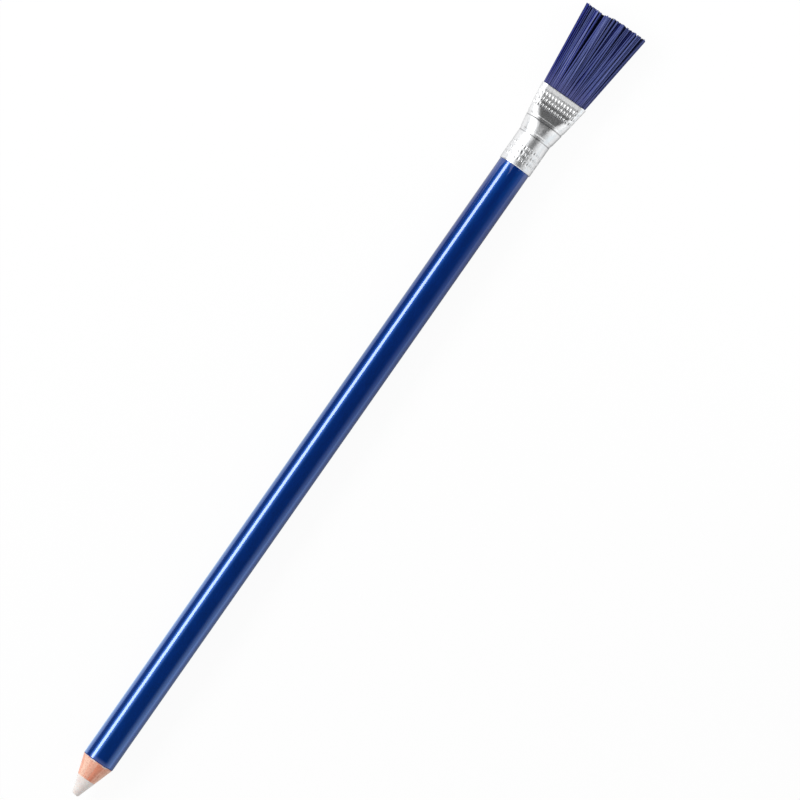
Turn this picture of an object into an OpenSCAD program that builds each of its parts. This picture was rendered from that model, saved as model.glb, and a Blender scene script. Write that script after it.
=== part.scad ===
// Pencil eraser stick. A round wooden casing of two glued slats holds a soft eraser core and is
// sharpened to a point at one end. A pressed metal ferrule at the other end holds a flat brush
// for sweeping the crumbs away.
// The pencil lies along X on the plane z = 0, point towards -X and brush towards +X. Its origin is
// the middle of its length, under its axis. The flat of the brush is level.

/* [Barrel] */
// Length from the tip of the point to the end of the casing inside the ferrule
barrel_l = 175; // [120:1:190]
// Outside diameter of the lacquered barrel
barrel_d = 7.5; // [6.8:0.1:9]
// Thickness of the lacquer on the casing
lacquer_t = 0.16; // [0.05:0.01:0.3]
// Thickness of the glue between the two slats and around the core
glue_t = 0.04; // [0.02:0.01:0.1]

/* [Point] */
// Diameter of the eraser core
core_d = 4.3; // [3:0.1:5.5]
// Diameter of the flat on the end of the point
point_d = 1.6; // [0.8:0.1:2.6]
// Angle between the sharpened cone and the axis of the pencil
cone_angle = 18; // [12:0.5:26]

/* [Ferrule] */
// Length of the ferrule
ferrule_l = 19; // [17:0.5:26]
// Thickness of its sheet metal
ferrule_wall = 0.2; // [0.14:0.01:0.3]
// Length of its collar over the end of the barrel
collar_l = 6.9; // [5:0.1:8]
// Radial clearance between the collar and the barrel
collar_fit = 0.01; // [0.005:0.005:0.05]
// Distance from the end of the barrel to the first rolled ring
ring_offset = 0.6; // [0.3:0.1:1.2]
// Distance from the first rolled ring to the second
ring_pitch = 3.7; // [2.5:0.1:4.5]
// Width of a rolled ring
ring_w = 0.9; // [0.6:0.1:1.3]
// Depth of a rolled ring
ring_depth = 0.12; // [0.05:0.01:0.16]
// Distance from the first rolled ring to where the ferrule begins to flatten
press_offset = 1.9; // [0:0.1:3]
// Width across the mouth of the ferrule
mouth_w = 11.6; // [9.6:0.02:14]
// Thickness through the mouth of the ferrule
mouth_t = 3; // [2.4:0.1:5]
// Length of the band that is pressed flat and parallel behind the mouth
flat_l = 1.9; // [1.2:0.1:3.5]

/* [Brush] */
// Length of the bristles inside the ferrule
root_l = 6.6; // [4:0.1:7.5]
// Clearance between the packed roots and the ferrule
root_fit = 0.08; // [0.03:0.01:0.15]
// Thickness of the slice of packed roots that the free bristles grow from
slice_t = 0.4; // [0.2:0.05:1]
// Free length of the bristles, from the mouth to their trimmed ends
free_l = 20.2; // [12:0.1:30]
// Width of the brush at its trimmed end
tuft_w = 15.5; // [12:0.1:20]
// Thickness of the brush at its trimmed end
tuft_t = 4.4; // [3.4:0.1:7]
// Width of a bristle
strand_w = 0.18; // [0.1:0.01:0.2]
// Least spacing of the bristles at their roots
strand_pitch = 0.25; // [0.24:0.01:0.4]
// Width of a clump of bristles, between one thin place and the next
clump_w = 2.1; // [1.6:0.1:4]
// How far the bristles of a clump lean towards its middle at their tips
clump_lean = 0.06; // [0:0.01:0.08]
// How far a single tip wanders from its row
tip_wander = 0.04; // [0:0.01:0.06]
// How much the trimmed ends differ in length
trim_wander = 0.5; // [0:0.1:1]

/* [Hidden] */
$fn = 96;

// Places along the pencil, measured from the tip of the point
rim_x = barrel_l - collar_l;
mouth_x = rim_x + ferrule_l;
overall_l = mouth_x + free_l;
root_x = mouth_x - root_l;
slice_x = mouth_x - slice_t;
flat_x = mouth_x - flat_l;
ring_1_x = barrel_l + ring_offset;
ring_2_x = ring_1_x + ring_pitch;
press_x = ring_1_x + press_offset;

// Radii of the round pieces, from the outside in
barrel_r = barrel_d / 2;
casing_r = barrel_r - lacquer_t;
core_r = core_d / 2;
groove_r = core_r + glue_t;
point_r = point_d / 2;

// The collar is the lowest part of the pencil as it lies
collar_r = barrel_r + collar_fit + ferrule_wall;
axis_z = collar_r;

// Facets round the ferrule, and steps across a rolled ring, between the rings and along the flare
FERRULE_SIDES = 48;
RING_STEPS = 4;
GAP_STEPS = 3;
FLARE_STEPS = 7;

// How the ferrule's sides widen from the first ring on: 1 is straight, and less is sooner
FLARE_CURVE = 0.9;

// Where the sharpened cone has this radius, measured from the tip of the point
function cone_x(r) = (r - point_r) / tan(cone_angle);

// A rise from 0 to 1 that starts and ends level
function ease(t) = let (k = min(1, max(0, t))) k * k * (3 - 2 * k);

// Half the outside width and thickness of the ferrule before its rings are rolled
function ferrule_half_w(x) =
    let (share = max(0, (x - ring_1_x) / (mouth_x - ring_1_x)))
    collar_r + (mouth_w / 2 - collar_r) * pow(share, FLARE_CURVE);
function ferrule_half_t(x) =
    collar_r + (mouth_t / 2 - collar_r) * ease((x - press_x) / (flat_x - press_x));

// How deep one rolled ring lies under the surface
function ring_dip(x, start) =
    x > start && x < start + ring_w ? ring_depth * pow(sin(180 * (x - start) / ring_w), 2) : 0;
function rings_dip(x) = ring_dip(x, ring_1_x) + ring_dip(x, ring_2_x);

// The stations of the ferrule, from its rim to its mouth
stations = concat(
    [rim_x],
    [for (i = [0:RING_STEPS]) ring_1_x + ring_w * i / RING_STEPS],
    [for (i = [1:GAP_STEPS - 1])
        ring_1_x + ring_w + (ring_2_x - ring_1_x - ring_w) * i / GAP_STEPS],
    [for (i = [0:RING_STEPS]) ring_2_x + ring_w * i / RING_STEPS],
    [for (i = [1:FLARE_STEPS])
        ring_2_x + ring_w + (mouth_x - ring_2_x - ring_w) * i / FLARE_STEPS]
);

// The same stations between two places, with those places as the first and the last
STATION_GAP = 0.05;
function stations_between(from, to) = concat(
    [from],
    [for (x = stations) if (x > from + STATION_GAP && x < to - STATION_GAP) x],
    [to]
);

// One loop of the ferrule's surface, taken in by a distance: two half circles and two flats
function ferrule_loop(x, inset) =
    let (
        flat = ferrule_half_w(x) - ferrule_half_t(x),
        r = (ferrule_half_t(x) - rings_dip(x) - inset) / cos(180 / FERRULE_SIDES)
    )
    [for (i = [0:FERRULE_SIDES - 1])
        let (a = 360 * (i + 0.5) / FERRULE_SIDES)
        [x, (cos(a) > 0 ? flat : -flat) + r * cos(a), r * sin(a)]];

// Triangles between two loops of n points, whose first points have these numbers
function band(first, next, n) = [
    for (i = [0:n - 1])
        let (k = (i + 1) % n)
        each [[first + i, next + i, next + k], [first + i, next + k, first + k]]
];

// Triangles that close a loop of n points
function cap(first, n) = [for (i = [1:n - 2]) [first, first + i + 1, first + i]];

function turned(faces) = [for (f = faces) [f[2], f[1], f[0]]];

// A closed skin through loops of equal length, joined in a circle for a tube wall
module tube_wall(loops) {
    n = len(loops[0]);
    m = len(loops);
    polyhedron(
        points = [for (l = loops) each l],
        faces = [for (i = [0:m - 1]) each band(i * n, ((i + 1) % m) * n, n)]
    );
}

// A closed skin through loops of equal length, capped at both ends
module plug(loops) {
    n = len(loops[0]);
    m = len(loops);
    polyhedron(
        points = [for (l = loops) each l],
        faces = concat(
            [for (i = [0:m - 2]) each band(i * n, (i + 1) * n, n)],
            turned(cap(0, n)),
            cap((m - 1) * n, n)
        )
    );
}

// Moves a shape drawn from the tip of the point, with its axis on X, to where the pencil lies
module lie() {
    translate([-overall_l / 2, 0, axis_z])
        children();
}

// Turns a profile of [radius, distance from the tip] about the axis of the pencil
module turn_about_axis(profile) {
    lie()
        rotate([0, 90, 0])
            rotate_extrude()
                polygon(profile);
}

// Half of the wooden casing: side is 1 for the upper slat and -1 for the lower one
module slat(side) {
    difference() {
        turn_about_axis([
            [0, cone_x(core_r)],
            [core_r, cone_x(core_r)],
            [casing_r, cone_x(casing_r)],
            [casing_r, barrel_l],
            [0, barrel_l]
        ]);
        lie()
            rotate([0, 90, 0])
                cylinder(h = overall_l, r = groove_r);
        lie()
            translate([0, -barrel_r, side > 0 ? glue_t / 2 - barrel_d : -glue_t / 2])
                cube([overall_l, barrel_d, barrel_d]);
    }
}

module casing_upper() {
    color([0.93, 0.70, 0.56])
        slat(1);
}

module casing_lower() {
    color([0.91, 0.67, 0.53])
        slat(-1);
}

// The soft core: sharpened with the casing, flat at the very tip
module eraser_core() {
    color([0.88, 0.84, 0.82])
        turn_about_axis([
            [0, 0],
            [point_r, 0],
            [core_r, cone_x(core_r)],
            [core_r, barrel_l],
            [0, barrel_l]
        ]);
}

// The lacquer: cut off along the sharpened cone, and running on under the ferrule
module lacquer_coat() {
    color([0.0, 0.17, 0.42])
        turn_about_axis([
            [casing_r, cone_x(casing_r)],
            [barrel_r, cone_x(barrel_r)],
            [barrel_r, barrel_l],
            [casing_r, barrel_l]
        ]);
}

// One thin tube: a round collar on the barrel that is pressed flat and flared towards its mouth
module ferrule() {
    last = len(stations) - 1;
    color([0.86, 0.87, 0.88])
        lie()
            tube_wall(concat(
                [for (i = [0:last]) ferrule_loop(stations[i], 0)],
                [for (i = [last:-1:0]) ferrule_loop(stations[i], ferrule_wall)]
            ));
}

// The resin that was poured on the roots and glues them to the ferrule and the casing
module resin_plug() {
    color([0.80, 0.66, 0.36])
        lie()
            plug([for (x = stations_between(barrel_l, root_x))
                ferrule_loop(x, ferrule_wall + root_fit)]);
}

// The roots of the bristles, packed and set solid inside the flat end of the ferrule
module bristle_roots() {
    color([0.22, 0.22, 0.42])
        lie()
            plug([for (x = stations_between(root_x, slice_x))
                ferrule_loop(x, ferrule_wall + root_fit)]);
}

// The slice that carries the free bristles fills the mouth, and is divided into cells,
// one for each bristle
slice_half_w = ferrule_half_w(slice_x) - ferrule_wall - root_fit;
slice_half_t = ferrule_half_t(slice_x) - ferrule_wall - root_fit;
cell_cols = floor(2 * slice_half_w / strand_pitch);
cell_rows = floor(2 * slice_half_t / strand_pitch);
strand_count = cell_cols * cell_rows;

// Corner of the cells in the slice's own plane: straight rows that close in round the two ends
function cell_corner(i, j) =
    let (
        across = slice_half_w * (2 * i / cell_cols - 1),
        v = 2 * j / cell_rows - 1,
        flat = slice_half_w - slice_half_t,
        u = max(0, (abs(across) - flat) / slice_half_t)
    )
    [
        u > 0 ? sign(across) * (flat + slice_half_t * u * sqrt(1 - v * v / 2)) : across,
        slice_half_t * v * sqrt(1 - u * u / 2)
    ];

function cell(i, j) =
    [cell_corner(i, j), cell_corner(i + 1, j), cell_corner(i + 1, j + 1), cell_corner(i, j + 1)];
function centre(quad) = (quad[0] + quad[1] + quad[2] + quad[3]) / 4;

// The section of a bristle: its cell drawn in about the middle, as points from that middle
function strand_section(i, j) =
    let (quad = cell(i, j), c = centre(quad))
    [for (p = quad) (p - c) * strand_w / strand_pitch];

// The middles of all roots, row by row, and how far the outermost of them lie to each side
root_middles = [for (j = [0:cell_rows - 1], i = [0:cell_cols - 1]) centre(cell(i, j))];
root_reach_w = max([for (p = root_middles) p[0]]);
root_reach_t = max([for (p = root_middles) p[1]]);

// Half the width of the outermost bristle in the middle row, and half the height of one in a flat row
side_reach = max([for (p = strand_section(cell_cols - 1, floor(cell_rows / 2))) p[0]]);
flat_reach = max([for (p = strand_section(floor(cell_cols / 2), cell_rows - 1)) p[1]]);

// The same random numbers each time, one for each bristle
SIDE_SEED = 11;
LIFT_SEED = 23;
TRIM_SEED = 37;
side_draw = rands(-1, 1, strand_count, SIDE_SEED);
lift_draw = rands(-1, 1, strand_count, LIFT_SEED);
trim_draw = rands(0, 1, strand_count, TRIM_SEED);
least_trim = min(trim_draw);

// Where the tip of bristle k lies across the brush: fanned out, drawn into clumps, and
// wandering a little, with the edges of the brush kept straight
function tip_middle(k) =
    let (
        share_w = root_middles[k][0] / root_reach_w,
        share_t = root_middles[k][1] / root_reach_t,
        y = share_w * (tuft_w / 2 - side_reach),
        z = share_t * (tuft_t / 2 - flat_reach),
        inner_w = 1 - pow(share_w, 4),
        inner_t = 1 - pow(share_t, 2)
    )
    [
        y + inner_w * (clump_lean * sin(360 * y / clump_w) + tip_wander * side_draw[k]),
        z + inner_t * (clump_lean * cos(360 * y / clump_w / 2) + tip_wander * lift_draw[k])
    ];
function tip_x(k) = overall_l - trim_wander * (trim_draw[k] - least_trim);

tip_middles = [for (k = [0:strand_count - 1]) tip_middle(k)];

// The least distance between the middles of two neighbours, at their roots and at their tips
function least_step(middles) = min(concat(
    [for (j = [0:cell_rows - 1], i = [0:cell_cols - 2])
        norm(middles[j * cell_cols + i + 1] - middles[j * cell_cols + i])],
    [for (j = [0:cell_rows - 2], i = [0:cell_cols - 1])
        norm(middles[(j + 1) * cell_cols + i] - middles[j * cell_cols + i])]
));

// Numbers of the corners along the edge of the slice, in order round it
function corner_number(i, j) = j * (cell_cols + 1) + i;
edge_corners = concat(
    [for (i = [0:cell_cols - 1]) corner_number(i, 0)],
    [for (j = [0:cell_rows - 1]) corner_number(cell_cols, j)],
    [for (i = [cell_cols:-1:1]) corner_number(i, cell_rows)],
    [for (j = [cell_rows:-1:1]) corner_number(0, j)]
);

// The free bristles: one closed skin over the slice, which rises into a strand in every cell
module bristle_tuft() {
    corners = [for (j = [0:cell_rows], i = [0:cell_cols]) cell_corner(i, j)];
    edge_n = len(edge_corners);
    root_first = len(corners);
    tip_first = root_first + 4 * strand_count;
    back_first = tip_first + 4 * strand_count;
    back_middle = back_first + edge_n;
    points = concat(
        [for (p = corners) [mouth_x, p[0], p[1]]],
        [for (j = [0:cell_rows - 1], i = [0:cell_cols - 1])
            let (m = root_middles[j * cell_cols + i])
            for (s = strand_section(i, j)) [mouth_x, m[0] + s[0], m[1] + s[1]]],
        [for (j = [0:cell_rows - 1], i = [0:cell_cols - 1])
            let (k = j * cell_cols + i, m = tip_middles[k])
            for (s = strand_section(i, j)) [tip_x(k), m[0] + s[0], m[1] + s[1]]],
        [for (e = edge_corners) [slice_x, corners[e][0], corners[e][1]]],
        [[slice_x, 0, 0]]
    );
    floor_faces = [
        for (j = [0:cell_rows - 1], i = [0:cell_cols - 1])
            let (
                outer = [
                    corner_number(i, j), corner_number(i + 1, j),
                    corner_number(i + 1, j + 1), corner_number(i, j + 1)
                ],
                inner = root_first + 4 * (j * cell_cols + i)
            )
            for (s = [0:3])
                let (t = (s + 1) % 4)
                each [
                    [outer[s], inner + t, outer[t]],
                    [outer[s], inner + s, inner + t]
                ]
    ];
    strand_faces = [
        for (k = [0:strand_count - 1])
            each concat(
                band(root_first + 4 * k, tip_first + 4 * k, 4),
                cap(tip_first + 4 * k, 4)
            )
    ];
    edge_faces = [
        for (e = [0:edge_n - 1])
            let (f = (e + 1) % edge_n)
            each [
                [edge_corners[e], edge_corners[f], back_first + f],
                [edge_corners[e], back_first + f, back_first + e],
                [back_middle, back_first + e, back_first + f]
            ]
    ];
    echo(bristles = strand_count, faces = len(floor_faces) + len(strand_faces) + len(edge_faces));
    echo(least_step_at_roots = least_step(root_middles), at_tips = least_step(tip_middles));
    color([0.27, 0.28, 0.50])
        lie()
            polyhedron(points = points, faces = concat(floor_faces, strand_faces, edge_faces));
}

casing_upper();
casing_lower();
eraser_core();
lacquer_coat();
ferrule();
resin_plug();
bristle_roots();
bristle_tuft();
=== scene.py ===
# %% [markdown]
# # Dressing a pencil eraser stick
#
# The object is a round wooden pencil with a soft eraser core. It is sharpened at one end, and at the
# other a pressed metal ferrule holds a flat brush for the crumbs. Its sizes and joints come from a
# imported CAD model, loaded as a fixed frame. The notebook then makes what an eye sees: cut wood, worn
# eraser, thick lacquer, knurled metal and several hundred bristles.

# %% Load the CAD frame
import math

import bmesh
import bpy
import numpy as np
from mathutils import Matrix, Vector, noise


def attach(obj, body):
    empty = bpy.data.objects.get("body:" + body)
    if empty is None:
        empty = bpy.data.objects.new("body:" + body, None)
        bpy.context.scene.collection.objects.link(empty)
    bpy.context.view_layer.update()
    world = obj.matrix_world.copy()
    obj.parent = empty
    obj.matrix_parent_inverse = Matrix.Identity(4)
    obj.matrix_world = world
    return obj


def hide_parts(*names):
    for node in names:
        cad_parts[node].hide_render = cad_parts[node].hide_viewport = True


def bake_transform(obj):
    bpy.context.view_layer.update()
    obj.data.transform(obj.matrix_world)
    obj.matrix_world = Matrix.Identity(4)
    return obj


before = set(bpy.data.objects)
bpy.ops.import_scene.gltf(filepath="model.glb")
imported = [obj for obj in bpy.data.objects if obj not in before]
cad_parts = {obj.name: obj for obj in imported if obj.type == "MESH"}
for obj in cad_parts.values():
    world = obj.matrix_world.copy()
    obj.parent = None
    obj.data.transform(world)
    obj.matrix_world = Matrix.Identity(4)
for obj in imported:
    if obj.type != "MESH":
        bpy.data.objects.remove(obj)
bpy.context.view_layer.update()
scene = bpy.context.scene
print("nodes:", sorted(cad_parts))

# %% [markdown]
# ## Sizes
#
# The CAD source measures from the tip of the point, in millimetres, with the axis of the pencil as
# its x. It is the handiest way to think about a pencil, so the pieces are drawn like that too, and
# one function carries them to the metres of the frame, where the pencil lies on the floor.

# %% The sizes of the pencil
MM = 0.001
POINT_R = 0.8
CASING_R = 3.59
BARREL_R = 3.75
COLLAR_R = 3.96
CONE_HALF_ANGLE = 18
CONE_SLOPE = math.tan(math.radians(CONE_HALF_ANGLE))
BARREL_END = 175.0
OVERALL = 207.3
AXIS_Z = COLLAR_R


def cone_x(radius):
    """Where the sharpened cone has this radius."""
    return (radius - POINT_R) / CONE_SLOPE


def in_frame(points):
    """Millimetres from the tip, with the pencil's axis as x, as metres in the frame."""
    return (np.asarray(points, float) + (-OVERALL / 2, 0.0, AXIS_Z)) * MM


print(f"the cone meets the casing {cone_x(CASING_R):.2f} mm from the tip")

# %% [markdown]
# ## A closed mesh from loops
#
# Most pieces here are skins drawn through loops of points: round ones for the turned pieces, long
# ovals for the ferrule. One helper joins such loops, and the last to the first where the piece is a
# tube. Another makes the object, turns its faces outwards by the sign of the volume, keeps sharp
# edges sharp, and says how many edges are open.

# %% The helpers that make a piece
def skin(loops, joined_round=False):
    """Faces between loops of equal length. joined_round links the last loop to the first."""
    count = len(loops[0])
    faces = []
    for k in range(len(loops) if joined_round else len(loops) - 1):
        here, there = k * count, (k + 1) % len(loops) * count
        for i in range(count):
            j = (i + 1) % count
            faces.append((here + i, here + j, there + j, there + i))
    return np.concatenate(loops), faces


def make_piece(name, points, faces, crease=40):
    """A closed mesh object in the frame, with its edges over crease degrees left sharp."""
    mesh = bpy.data.meshes.new(name)
    mesh.from_pydata(in_frame(points).tolist(), [], faces)
    shell = bmesh.new()
    shell.from_mesh(mesh)
    if shell.calc_volume(signed=True) < 0:
        bmesh.ops.reverse_faces(shell, faces=shell.faces)
    loose = sum(not edge.is_manifold for edge in shell.edges)
    volume = shell.calc_volume(signed=True) / MM**3
    shell.to_mesh(mesh)
    shell.free()
    mesh.shade_smooth()
    mesh.set_sharp_from_angle(angle=math.radians(crease))
    piece = bpy.data.objects.new(name, mesh)
    scene.collection.objects.link(piece)
    print(f"{name}: {len(faces)} faces, {volume:.1f} mm3, {loose} open edges")
    return piece


# %% [markdown]
# ## Sockets that do arithmetic
#
# Materials and Geometry Nodes are both networks of small sums. Written node by node they are hard
# to read, so a socket is wrapped in a class that knows +, -, *, / and **, and each adds its own Math
# node. Any other node comes from one method, which takes its type, its settings, and the values or
# links of its sockets.

# %% The wrapped socket
class Wire:
    """One output of a node. Arithmetic on it adds Math nodes."""

    def __init__(self, graph, socket):
        self.graph = graph
        self.socket = socket

    def math(self, operation, *others):
        return self.graph.add("ShaderNodeMath", {"operation": operation}, self, *others)

    def __add__(self, other):
        return self.math("ADD", other)

    def __sub__(self, other):
        return self.math("SUBTRACT", other)

    def __rsub__(self, other):
        return self.graph.add("ShaderNodeMath", {"operation": "SUBTRACT"}, other, self)

    def __mul__(self, other):
        return self.math("MULTIPLY", other)

    def __truediv__(self, other):
        return self.math("DIVIDE", other)

    def __rtruediv__(self, other):
        return self.graph.add("ShaderNodeMath", {"operation": "DIVIDE"}, other, self)

    def __pow__(self, other):
        return self.math("POWER", other)

    __radd__ = __add__
    __rmul__ = __mul__

    def output(self, name):
        """Another output of the same node."""
        node = self.socket.node
        return Wire(self.graph, next(s for s in node.outputs if s.enabled and s.name == name))

    def rise(self, start, end):
        """0 before start, 1 after end, and a smooth step between them."""
        settings = {"interpolation_type": "SMOOTHSTEP"}
        return self.graph.add("ShaderNodeMapRange", settings, self, start, end, 0.0, 1.0)


# %% The graph that it joins
class Graph:
    """A node tree that is being built."""

    def __init__(self, tree, material=None):
        self.tree = tree
        self.material = material

    def feed(self, socket, value):
        if isinstance(value, Wire):
            self.tree.links.new(value.socket, socket)
        elif socket.type == "RGBA" and len(value) == 3:
            socket.default_value = (*value, 1.0)
        else:
            socket.default_value = value

    def add(self, kind, settings=None, *values, **named):
        """A node of this kind: first its settings, then its sockets in order or by name."""
        node = self.tree.nodes.new(kind)
        for key, value in (settings or {}).items():
            setattr(node, key, value)
        shown = [s for s in node.inputs if s.enabled]
        for socket, value in zip(shown, values):
            self.feed(socket, value)
        for name, value in named.items():
            label = name.replace("_", " ")
            self.feed(next(s for s in shown if s.name == label), value)
        outputs = [s for s in node.outputs if s.enabled]
        return Wire(self, outputs[0]) if outputs else node

    def vector(self, operation, *values):
        return self.add("ShaderNodeVectorMath", {"operation": operation}, *values)

    def split(self, vector):
        return self.add("ShaderNodeSeparateXYZ", {}, vector)

    def blend(self, share, first, second):
        """The first colour at share 0 and the second at share 1."""
        return self.add("ShaderNodeMix", {"data_type": "RGBA"}, share, first, second)

    def noise(self, place, scale=1.0, detail=2.0, roughness=0.5):
        return self.add(
            "ShaderNodeTexNoise", {}, Vector=place, Scale=scale, Detail=detail, Roughness=roughness
        )

    def streaks(self, place, along, across, detail=2.0, roughness=0.5):
        """Noise whose x is scaled apart from its y and z, so that it runs along or across."""
        stretched = self.vector("MULTIPLY", place, (along, across, across))
        return self.noise(stretched, detail=detail, roughness=roughness)


# %% [markdown]
# ## Materials start from one frame
#
# A good finish varies: its colour, its roughness and its relief all change over the surface. Each
# finish below is a function that paints those on a graph, in millimetres on the object, and this
# helper joins what it returns to a Principled shader. What is the same all over, such as the
# strength of a clear coat, is set on the shader's own socket.

# %% The helper that makes a material
def finish(name, paint, relief=0.01, **constants):
    """A material. paint(graph, place) returns its varying sockets, and Height for its relief."""
    material = bpy.data.materials.new(name)
    material.use_nodes = True
    graph = Graph(material.node_tree)
    graph.tree.nodes.clear()
    here = graph.add("ShaderNodeTexCoord").output("Object")
    place = graph.add("ShaderNodeVectorMath", {"operation": "SCALE"}, here, Scale=1 / MM)
    varying = paint(graph, place)
    height = varying.pop("Height")
    varying["Normal"] = graph.add("ShaderNodeBump", {}, Distance=relief * MM, Height=height)
    for socket, value in constants.items():
        varying[socket] = value
    shader = graph.add("ShaderNodeBsdfPrincipled", {}, **varying)
    graph.add("ShaderNodeOutputMaterial", {}, shader)
    print(f"finish {name}: {len(graph.tree.nodes)} nodes")
    return material


# %% [markdown]
# ## The camera
#
# The photograph looks almost straight down on the pencil, which crosses it at 55 degrees with the
# point at the lower left. A long lens from a metre away keeps the barrel's edges parallel. The
# camera's turn is written from three directions: where it looks, picture right and picture up.

# %% Set the camera
CAMERA_TILT = math.radians(1.0)
CAMERA_ROLL = math.radians(55)
CAMERA_DISTANCE = 1.06
CAMERA_TARGET = Vector((0.00805, -0.00875, 0.00396))
LENS = 217.3

looking = Vector((math.sin(CAMERA_TILT), 0, -math.cos(CAMERA_TILT)))
along_pencil = Vector((math.cos(CAMERA_TILT), 0, math.sin(CAMERA_TILT)))
across_pencil = Vector((0, -1, 0))
picture_right = along_pencil * math.cos(CAMERA_ROLL) + across_pencil * math.sin(CAMERA_ROLL)
picture_up = along_pencil * math.sin(CAMERA_ROLL) - across_pencil * math.cos(CAMERA_ROLL)
camera = bpy.data.objects.new("camera", bpy.data.cameras.new("camera"))
camera.data.lens = LENS
camera.data.sensor_width = 36
camera.data.clip_start = 0.01
camera.data.clip_end = 20
turn = Matrix((picture_right, picture_up, -looking)).transposed().to_4x4()
camera.matrix_world = Matrix.Translation(CAMERA_TARGET - looking * CAMERA_DISTANCE) @ turn
scene.collection.objects.link(camera)
scene.camera = camera
scene.view_settings.view_transform = "Standard"
print("camera at", [round(x, 4) for x in camera.location])

# %% [markdown]
# ## The light
#
# A shiny round barrel is a mirror, and what it mirrors draws its shape: here one bright line, a soft
# band along each side, and a dark middle. The line is a long strip lamp, hung to one side. The dark
# middle is an unlit ceiling that runs along the pencil, and the soft bands are pale walls and floor.
# Metal needs more to mirror than paint does, so two small soft cards hang over the ferrule alone.

# %% The lamps
def hang_lamp(name, middle, length, angle, half_angle, distance, radiance):
    """A long rectangular lamp beside the pencil: angle is from overhead towards +Y, in degrees."""
    lengthwise = Vector((1, 0, 0))
    back = Vector((0, math.sin(math.radians(angle)), math.cos(math.radians(angle))))
    height = 2 * distance * math.tan(math.radians(half_angle))
    lamp = bpy.data.objects.new(name, bpy.data.lights.new(name, "AREA"))
    lamp.data.shape = "RECTANGLE"
    lamp.data.size = length
    lamp.data.size_y = height
    lamp.data.energy = radiance * math.pi * length * height
    lamp_turn = Matrix((lengthwise, back.cross(lengthwise), back))
    place = Vector((middle, 0, AXIS_Z * MM)) + back * distance
    lamp.matrix_world = Matrix.Translation(place) @ lamp_turn.transposed().to_4x4()
    lamp.visible_camera = False
    scene.collection.objects.link(lamp)
    print(f"{name}: {length:.2f} by {height:.2f} m, {lamp.data.energy:.2f} W")


hang_lamp(
    "strip_lamp", middle=-0.105, length=0.49, angle=51.5, half_angle=9, distance=0.6, radiance=8.2
)
CARD = {"middle": 0.123, "length": 0.1, "distance": 0.12}
hang_lamp("ferrule_card_near", angle=-59, half_angle=24, radiance=1.0, **CARD)
hang_lamp("ferrule_card_far", angle=51, half_angle=45, radiance=0.95, **CARD)

# %% [markdown]
# The room is painted on the world. A ray's angle round the pencil, in degrees from overhead, says
# what it meets: the ceiling, then a wall on either side, the far one with a dark foot. Its lean along
# the pencil says the rest. Towards the point the ceiling is lighter, which gives each small dent in
# the metal one bright side. Towards the brush the walls fade. A ray square to the barrel meets a cool
# white, like daylight, and a camera ray sees a plain one.

# %% The room around
FILL = 0.52
NEAR_FILL = 0.35
CEILING = 0.028
CEILING_AHEAD = 0.9
NEAR_WALL = 0.95
FAR_DARK = 0.08
WALL_FADE = 0.7
NEAR_WALL_EDGE = (-84, -46)
CEILING_EDGE = (20, 42)
FAR_FOOT = (66, 76)
AHEAD_START = (-0.85, -0.75)
AHEAD_END = (-0.3, -0.09)
SQUARE_START = (-0.16, -0.1)
FADE = (-0.09, 0.06)
WHITE = (1.0, 1.0, 1.0)
COOL = (0.84, 1.14, 1.32)

world = bpy.data.worlds.new("studio")
scene.world = world
world.use_nodes = True
world.cycles.sampling_method = "NONE"
room = Graph(world.node_tree)
room.tree.nodes.clear()
direction = room.split(room.add("ShaderNodeTexCoord"))
turned = direction.output("Y").math("ARCTAN2", direction.output("Z")) * (180 / math.pi)
leaning = direction.output("X")
past_ceiling = turned.rise(*CEILING_EDGE)
near_wall = 1 - turned.rise(*NEAR_WALL_EDGE)
far_wall = past_ceiling * (1 - turned.rise(*FAR_FOOT) * (1 - FAR_DARK))
ahead = (1 - leaning.rise(*AHEAD_END)) * leaning.rise(*AHEAD_START)
ceiling = ahead * CEILING_AHEAD + CEILING
mirrored = ceiling * (1 - near_wall) * (1 - past_ceiling)
to_brush = leaning.rise(*FADE)
walls = near_wall * NEAR_WALL + far_wall
mirrored = mirrored + walls * (1 - to_brush * WALL_FADE)
rays = room.add("ShaderNodeLightPath")
seen = rays.output("Is Camera Ray")
glossy = rays.output("Is Glossy Ray")
unseen = glossy * mirrored + (1 - glossy) * (near_wall * NEAR_FILL + FILL)
strength = seen + (1 - seen) * unseen
square = leaning.rise(*SQUARE_START) * (1 - to_brush)
cool = room.blend(glossy * square, WHITE, COOL)
background = room.add("ShaderNodeBackground", {}, cool, strength)
room.add("ShaderNodeOutputWorld", {}, background)
print("room:", len(room.tree.nodes), "nodes")

# %% [markdown]
# ## The floor
#
# The photograph's background is pure white. A white floor under plain light stays a little grey,
# and more light would wash out the pencil. So to the camera the floor glows by itself for most of
# its brightness, and what is left of its own shading keeps the shadow. A shiny piece mirrors
# another glow: bright and cool beside the paint, dimmer towards the brush, and low where the pencil
# shades the floor or almost touches it. A finger's breadth away on the lamp's side it turns dark,
# like the black card that a photographer lays beside a shiny thing.

# %% Lay the floor
FLOOR_HALF = 3.0
PAPER_WHITE = (0.93, 0.93, 0.93)

floor_mesh = bpy.data.meshes.new("floor")
corners = [(-1, -1), (1, -1), (1, 1), (-1, 1)]
corners = [(x * FLOOR_HALF, y * FLOOR_HALF, 0) for x, y in corners]
floor_mesh.from_pydata(corners, [], [(0, 1, 2, 3)])
floor = bpy.data.objects.new("floor", floor_mesh)
scene.collection.objects.link(floor)
print("floor:", 2 * FLOOR_HALF, "m wide")

# %% Make the paper glow
FLOOR_GLOW = 0.94
MIRRORED_GLOW = 0.6
GLOW_AT_POINT = 1.5
GLOW_AT_BRUSH = 0.5
GLOW_AT_METAL = 0.85
SHADED = 0.15
TOUCHED = 0.25
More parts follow.
